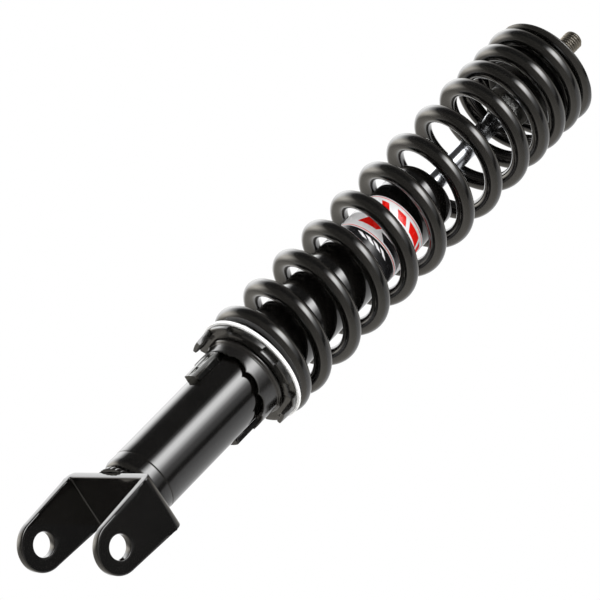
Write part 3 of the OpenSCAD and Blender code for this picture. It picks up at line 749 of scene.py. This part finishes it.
class STRUT_OT_tube(bpy.types.Operator):
    """Makes the damper's tube, its base cap, gland cap and label, and softens its lugs"""

    bl_idname = "strut.tube"
    bl_label = "Tube, caps, label and lugs"

    def execute(self, context):
        s = sizes("strut_damper")
        # The tube's outer edges are rounded, so that a fine groove shows where it meets a cap.
        tube = band("damper_tube", radius_of("rod_guide") + FIT, 0.2, s.edge, s.edge * 0.5)
        label = band("label_band", radius_of("label_band") - 0.12, 0.02, 0.05, 0.05, 3)
        for name, finish, node, slot, profile in (
            ("tube", "tube paint", "damper_tube", "tube_enamel", tube),
            ("base_cap", "tube paint", "tube_base_cap", "tube_enamel", self.base_cap(s)),
            ("gland_cap_turned", "tube paint", "gland_cap", "tube_enamel", self.gland_cap(s)),
            ("label", "printed label", "label_band", "label_film", label),
        ):
            solid(name, [revolved(split_long(profile))], finish, "damper", node, slot=slot)
        softened_copy("preload_lugs", "dark plate", 0.9, "damper")
        return {"FINISHED"}

    def base_cap(self, s):
        """Foot, rounded shoulder and skirt of the base cap, with its plug inside the tube. The shoulder
        is a quarter of an ellipse, as wide as the foot's inset."""
        low, high, r = span("tube_base_cap")
        seam, bore = foot_of("damper_tube"), radius_of("rod_guide")
        foot_r = r - s.foot_inset
        q = np.radians(np.linspace(0, 90, 13))
        shoulder_z = seam - s.skirt - s.shoulder * np.cos(q)
        shoulder = np.stack([foot_r + s.foot_inset * np.sin(q), shoulder_z], axis=1)
        inside = radius_of("base_valve_body") - 2.07
        rim = arc(r - s.edge, seam - s.edge, s.edge, 0, 90)
        return np.concatenate(
            [[(inside, low), (foot_r, low)], shoulder, rim, [(bore, seam), (bore, high), (inside, high)]]
        )

    def gland_cap(self, s):
        """The gland cap: its plug in the tube, a groove, a rounded rim and the pocket of the wiper."""
        low, high, r = span("gland_cap")
        seam, bore = top_of("damper_tube"), radius_of("rod_guide")
        wiper, wiper_foot = radius_of("dust_wiper") + 0.05, foot_of("dust_wiper")
        seal, seal_top = radius_of("rod_oil_seal") + FIT, top_of("rod_oil_seal")
        rod_room = radius_of("piston_rod") + 0.5
        return rounded([
            (seal, low, 0.2), (bore, low, 0.4), (bore, seam, 0), (r, seam, s.edge * 0.5),
            (r, high, s.cap_edge), (wiper, high, 0.4), (wiper, wiper_foot, 0.1),
            (rod_room, wiper_foot, 0.2), (rod_room, seal_top, 0.2), (seal, seal_top, 0.1),
        ], 7)


# ---------- Collar and ring ----------


class STRUT_OT_collar(bpy.types.Operator):
    """Makes the stepped collar, with its scallops, notches and tabs, and the bright ring"""

    bl_idname = "strut.collar"
    bl_label = "Collar and ring"

    HALF_NOTCH, HALF_TAB, WALL = 0.17, 0.165, 0.012  # half widths and side wall, in radians

    def execute(self, context):
        # The pilot centres the ring, and clears the wire's inner side by its room.
        wire_inside = radius_of("upper_spring_seat") - SEAT_OVER - sizes("strut_spring").wire / 2
        pilot = wire_inside - PILOT_ROOM
        collar = self.collar(sizes("strut_collar"), pilot)
        solid(
            "preload_collar_cast", [collar], "black enamel", "collar", "preload_collar", slot="black_enamel", sharp=40
        )
        ring = revolved(band("spring_seat_ring", pilot + RUNNING_FIT, 0.2, 0.35, 0.35), 240)
        solid("bright_ring", [ring], "bright ring", "spring_seat", "spring_seat_ring", slot="bright_ring")
        return {"FINISHED"}

    def lower_edge(self, s, a, low, lug_top):
        """Height of the sleeve's lower edge at the turn a from a lug's middle, the same for both half
        turns: a deep notch for the lug, then round scallops whose cusps step down. Across a scallop,
        u goes from -1 to 1, and the edge rises above the chord by its depth times (1 - u²)^0.6."""
        past_notch = (a - s.first_left) % PI - (PI - s.steps * s.step_turn)
        step = np.clip(np.floor(past_notch / s.step_turn), 0, s.steps - 1)
        u = (past_notch / s.step_turn - step) * 2 - 1
        chord = low + (s.steps - step - (u + 1) / 2) * s.step_rise
        scallop = chord + s.scallop * np.maximum(0, 1 - u**2) ** 0.6
        edge = np.where(past_notch < 0, lug_top + 0.8, scallop)
        for _ in range(3):  # eases the corners
            edge = (np.roll(edge, 1) + 2 * edge + np.roll(edge, -1)) / 4
        return edge

    def near(self, a, place, pitch, half_width):
        """1 within half_width of place and of every pitch from it, falling to 0 over a side wall."""
        off = np.abs((a - place + pitch / 2) % pitch - pitch / 2)
        return np.clip((half_width - off) / self.WALL + 0.5, 0, 1)

    def collar(self, s, pilot):
        """The section of sleeve, bead, flange and pilot, carried round. Its lower edge follows the
        scallops, and the flange's rim follows the notches and tabs."""
        a = np.linspace(0, 2 * PI, 1440, endpoint=False)
        low, high, rim = span("preload_collar")
        bore = radius_of("damper_tube") + RUNNING_FIT
        sleeve, lip = bore + s.sleeve, bore + s.lip
        flange_top = foot_of("spring_seat_ring") - 0.05
        flange = flange_top - s.flange
        edge = self.lower_edge(s, a + PI / 2, low, top_of("preload_lugs"))
        tab = self.near(a, s.tab_angle, PI, self.HALF_TAB)
        pitch = 2 * PI / s.notches
        notch = self.near(a, pitch / 2, pitch, self.HALF_NOTCH) * (1 - tab)
        level = flange + notch * 0.72 * s.flange - tab * s.tab_drop
        wall = rim - s.notch_depth * (1 - tab) - 2.3 * tab
        outer = rim - 0.3 * tab
        recess = np.minimum(edge + s.recess, flange - 3.6)
        corner = 0.2 * np.sign(level - flange + 1e-9) * (notch + tab)
        loop = [
            (bore, recess), (lip - 0.3, recess), (lip, recess - 0.3), (lip, edge + 0.2), (lip + 0.2, edge),
            (sleeve - 0.25, edge), (sleeve - 0.07, edge + 0.07), (sleeve, edge + 0.25), (sleeve, edge + 1.2),
            (sleeve, flange - 3.4),
            *arc(sleeve, flange - 2.5, 0.55, -80, 80, 5),
            *arc(sleeve, flange - 1.05, 1.25, -75, 75, 7),
            (sleeve + 1.4, flange), (wall - 0.3, flange), (wall, flange + (level - flange) * 0.1),
            (wall, level - corner), (wall + 0.3, level), (outer - 0.6, level), (outer - 0.18, level + 0.18),
            (outer, level + 0.5), (rim, np.maximum(level + 0.6, flange + 0.2)), (rim, flange_top - 0.5),
            (rim - 0.15, flange_top - 0.15), (rim - 0.5, flange_top), (pilot, flange_top), (pilot, high - 0.5),
            (pilot - 0.5, high), (bore, high),
        ]
        r, z = (np.stack([point[k] + 0 * a for point in loop]) for k in (0, 1))
        return carried(r, z, a)


# ---------- Upper seat, nuts and rod ----------


class STRUT_OT_seat(bpy.types.Operator):
    """Makes the pressed upper seat and softens its two nuts"""

    bl_idname = "strut.seat"
    bl_label = "Upper seat and nuts"

    def execute(self, context):
        s = sizes("strut_seat")
        low, high, r = span("upper_spring_seat")
        bore = radius_of("piston_rod") + FIT
        face = high - s.sheet
        step = face - s.cup_depth
        cup_inside, hub_inside, p = s.cup - s.sheet, s.hub - s.sheet, s.press_round
        profile = rounded([
            (bore, low, 0.2), (s.hub, low, p * 0.7), (s.hub, step, 0.3), (s.cup, step, p), (s.cup, face, 0.3),
            (r, face, 0.7), (r, high, 0.7), (cup_inside, high, p), (cup_inside, step + s.sheet, 0.6),
            (hub_inside, step + s.sheet, p * 0.6), (hub_inside, low + s.sheet, 0.6), (bore, low + s.sheet, 0.2),
        ], 7)
        seat = revolved(split_long(profile), 200)
        solid("pressed_seat", [seat], "seat enamel", "rod", "upper_spring_seat", slot="black_enamel")
        for nut in ("under_seat_nut", "seat_clamp_nut"):
            softened_copy(nut, "zinc plate", 0.3, "rod")
        return {"FINISHED"}


class STRUT_OT_rod(bpy.types.Operator):
    """Makes the chromed rod with its rolled stud thread"""

    bl_idname = "strut.rod"
    bl_label = "Rod and stud"

    def execute(self, context):
        s = sizes("strut_damper")
        foot, top, r = span("piston_rod")
        shoulder = top_of("rebound_shims")
        neck = foot_of("under_seat_nut") - 3
        groove = r - s.groove_depth
        rod = revolved(np.array([
            (0, foot), (s.spigot - 0.5, foot), (s.spigot, foot + 0.5), (s.spigot, shoulder - 0.02),
            (r - 0.15, shoulder), (r, shoulder + 0.15), (r, shoulder + 30), (r, neck - 30), (r, neck - 0.4),
            (r - 0.25, neck), (groove, neck + 0.4), (groove, neck + 1.4), (0, neck + 1.4),
        ]), 96)
        solid("chromed_rod", [rod], "hard chrome", "rod", slot="hard_chrome")
        stud = self.thread(s, r, neck + 1.2, top)
        solid("threaded_stud", [stud], "turned steel", "rod", "piston_rod", slot="hard_chrome", sharp=50)
        return {"FINISHED"}

    def thread(self, s, r, low, top):
        """A screw surface: the radius falls by the thread's depth as a rounded wave of the height less
        the turn's share of the pitch. It starts in the groove and is cut by the tip's bevel."""
        a = np.linspace(0, 2 * PI, 72, endpoint=False)[None, :]
        z = np.linspace(low, top, int((top - low) / s.thread_pitch * 14))[:, None]
        wave = (z / s.thread_pitch - a / (2 * PI)) % 1
        crest = np.clip(1.25 * (1 - np.abs(2 * wave - 1)) - 0.12, 0, 1)
        fade = np.clip(z - low, 0, 1)
        radius = r - s.thread_depth * (1 - crest) * fade - s.groove_depth * (1 - fade)
        surface = carried(np.minimum(radius, r - s.stud_bevel + (top - z)), z, a)
        return np.concatenate([surface[:1] * [0, 0, 1], surface, surface[-1:] * [0, 0, 1]])


# ---------- Stage ----------


class STRUT_OT_stage(bpy.types.Operator):
    """Makes the floor, the studio's light and the camera"""

    bl_idname = "strut.stage"
    bl_label = "Floor, light and camera"

    # The studio's light round the strut, at turns in degrees, as shares of the key's brightness:
    # on the wall above the horizon, on the tall side softbox, and below the horizon.
    LIGHT = (
        (-180, 0.2, 0.05, 0.07), (-174, 0.17, 0.16, 0.07), (-162, 0.1, 0.36, 0.06), (-150, 0.08, 0.36, 0.05),
        (-138, 0.04, 0.16, 0.04), (-128, 0.02, 0, 0.03), (-112, 0.008, 0, 0.02), (-60, 0.008, 0, 0.025),
        (-52, 0.06, 0, 0.03), (-45, 0.45, 0, 0.03), (-37, 1, 0, 0.035), (-27, 1, 0, 0.04),
        (-18, 0.62, 0, 0.04), (-8, 0.22, 0, 0.045), (4, 0.08, 0, 0.05), (16, 0.05, 0, 0.05),
        (24, 0.01, 0, 0.055), (34, 0.01, 0, 0.06), (42, 0.07, 0, 0.065), (66, 0.1, 0, 0.085),
        (100, 0.12, 0, 0.1), (136, 0.13, 0, 0.09), (156, 0.2, 0, 0.08), (174, 0.22, 0, 0.07),
        (180, 0.2, 0.05, 0.07),
    )
    KEY = 7.5
    FLOOR_TINT = (1.0, 0.95, 0.86)  # of the light that comes from below the horizon

    def execute(self, context):
        self.floor(context.scene)
        self.studio(context.scene)
        self.camera(context.scene)
        return {"FINISHED"}

    def floor(self, scene):
        """A wide pale disc that the strut stands on. It is clear from below."""
        colour = scene.strut_stage.floor
        radius, level = 3.0, (foot_of("clevis_bracket") - 0.2) * MM
        rim = revolved(np.array([[radius, level]]), 64)[0]
        mesh = bpy.data.meshes.new("floor")
        mesh.from_pydata(rim, [], [list(range(len(rim)))])
        finish = Finish("pale floor")
        tone = finish.spread(finish.noise(3, 3), 0.0, 1.0)
        finish.set("Base Color", finish.mixed(tone, tuple(c * 0.97 for c in colour), colour))
        finish.set("Roughness", 0.7)
        below = finish.add("NewGeometry").outputs["Backfacing"]
        clear = finish.add("BsdfTransparent").outputs[0]
        mix = finish.add("MixShader", {0: below, 1: finish.shader.outputs[0], 2: clear})
        finish.feed(mix.outputs[0], finish.nodes["Material Output"].inputs["Surface"])
        mesh.materials.append(finish.material)
        floor = bpy.data.objects.new("floor", mesh)
        scene.collection.objects.link(floor)
        floor.visible_glossy = False

    def studio(self, scene):
        """A studio whose light changes with the turn: a key softbox, a dimmer one beside it and a dark
        flag between them, with a dim warm light from below. The camera itself sees plain white."""
        scene.world = bpy.data.worlds.new("studio")
        sky = Network(scene.world)
        sky.nodes.clear()
        x, y, z = sky.add("SeparateXYZ", {0: sky.add("TexCoord").outputs["Generated"]}).outputs
        turn = sky.math("ADD", sky.math("DIVIDE", sky.math("ARCTAN2", y, x), 2 * PI), 0.5)
        ramp = sky.add("ValToRGB", {0: turn})
        stops = ramp.color_ramp.elements
        stops.remove(stops[1])
        stops[0].color = (*self.LIGHT[0][1:], 1)
        for degrees, *shares in self.LIGHT[1:]:
            stops.new(degrees / 360 + 0.5).color = (*shares, 1)
        wall, side, below = sky.add("SeparateColor", {0: ramp.outputs[0]}).outputs

        def window(low, high, soft):
            """1 where the rise of the direction lies between low and high, with soft edges."""
            steps = [
                sky.add("MapRange", {0: z, 1: start, 2: end}, interpolation_type="SMOOTHSTEP").outputs[0]
                for start, end in ((low, low + soft), (high, high - soft))
            ]
            return sky.math("MULTIPLY", *steps)

        above = window(-0.20, 0.98, 0.36)
        light = sky.math("MULTIPLY", wall, above)
        light = sky.math("MULTIPLY_ADD", side, window(-0.62, 0.86, 0.32), light)
        light = sky.math("MULTIPLY_ADD", below, sky.math("SUBTRACT", 1, above), light)
        seen = sky.add("LightPath").outputs["Is Camera Ray"]
        unseen = sky.math("SUBTRACT", 1, seen)
        strength = sky.math("MULTIPLY_ADD", unseen, sky.math("MULTIPLY", light, self.KEY), seen)
        tint = sky.mixed(sky.math("MAXIMUM", above, seen), self.FLOOR_TINT, (1, 1, 1))
        background = sky.add("Background", {0: tint, 1: strength})
        sky.add("OutputWorld", {"Surface": background.outputs[0]})
        scene.world.cycles.sampling_method = "MANUAL"
        scene.world.cycles.sample_map_resolution = 1024
        scene.view_settings.view_transform = "Standard"
        lamp = bpy.data.lights.new("top softbox", "AREA")
        lamp.size, lamp.energy = 1.2, 13
        holder = bpy.data.objects.new("top softbox", lamp)
        back = Vector((0.15, -0.25, 1)).to_track_quat("Z", "Y").to_matrix().to_4x4()
        holder.matrix_world = Matrix.Translation((0.3, -0.5, 1.9)) @ back
        holder.visible_glossy = False
        scene.collection.objects.link(holder)

    def camera(self, scene):
        """The camera: its axes come from its azimuth, elevation and roll."""
        s = scene.strut_stage
        lens = bpy.data.cameras.new("camera")
        lens.sensor_fit = "HORIZONTAL"
        lens.angle = s.field
        lens.clip_start, lens.clip_end = 0.05, 20
        level = np.array([-np.sin(s.azimuth), np.cos(s.azimuth), 0])
        outward = np.array([np.cos(s.azimuth), np.sin(s.azimuth), 0])
        back = np.cos(s.elevation) * outward + np.sin(s.elevation) * np.array([0, 0, 1])
        right = np.cos(s.roll) * level + np.sin(s.roll) * np.cross(back, level)
        up = np.cross(back, right)
        place = np.eye(4)
        place[:3] = np.stack([right, up, back, np.array(s.aim) + back * s.distance], axis=1)
        camera = bpy.data.objects.new("camera", lens)
        camera.matrix_world = Matrix(place.tolist())
        scene.collection.objects.link(camera)
        scene.camera = camera


class STRUT_PT_panel(bpy.types.Panel):
    """The strut's operators and sizes in the 3D view's sidebar"""

    bl_idname = "STRUT_PT_panel"
    bl_label = "Strut"
    bl_space_type = "VIEW_3D"
    bl_region_type = "UI"
    bl_category = "Strut"

    def draw(self, context):
        for operator in OPERATORS:
            self.layout.operator(operator.bl_idname)
        for name, group in GROUPS.items():
            box = self.layout.box()
            for field in group.__annotations__:
                box.prop(getattr(context.scene, name), field)


OPERATORS = (
    STRUT_OT_finishes, STRUT_OT_spring, STRUT_OT_fork, STRUT_OT_tube,
    STRUT_OT_collar, STRUT_OT_seat, STRUT_OT_rod, STRUT_OT_stage,
)


def register():
    """Registers the groups, operators and panel."""
    for group in (*GROUPS.values(), *OPERATORS, STRUT_PT_panel):
        bpy.utils.register_class(group)
    for name, group in GROUPS.items():
        setattr(bpy.types.Scene, name, PointerProperty(type=group))


def unregister():
    """Removes everything that register added."""
    for name in GROUPS:
        delattr(bpy.types.Scene, name)
    for group in (STRUT_PT_panel, *reversed(OPERATORS), *reversed(GROUPS.values())):
        bpy.utils.unregister_class(group)


def main():
    """Registers the add-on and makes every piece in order."""
    register()
    for operator in OPERATORS:
        category, name = operator.bl_idname.split(".")
        getattr(getattr(bpy.ops, category), name)()


if __name__ == "__main__":
    main()
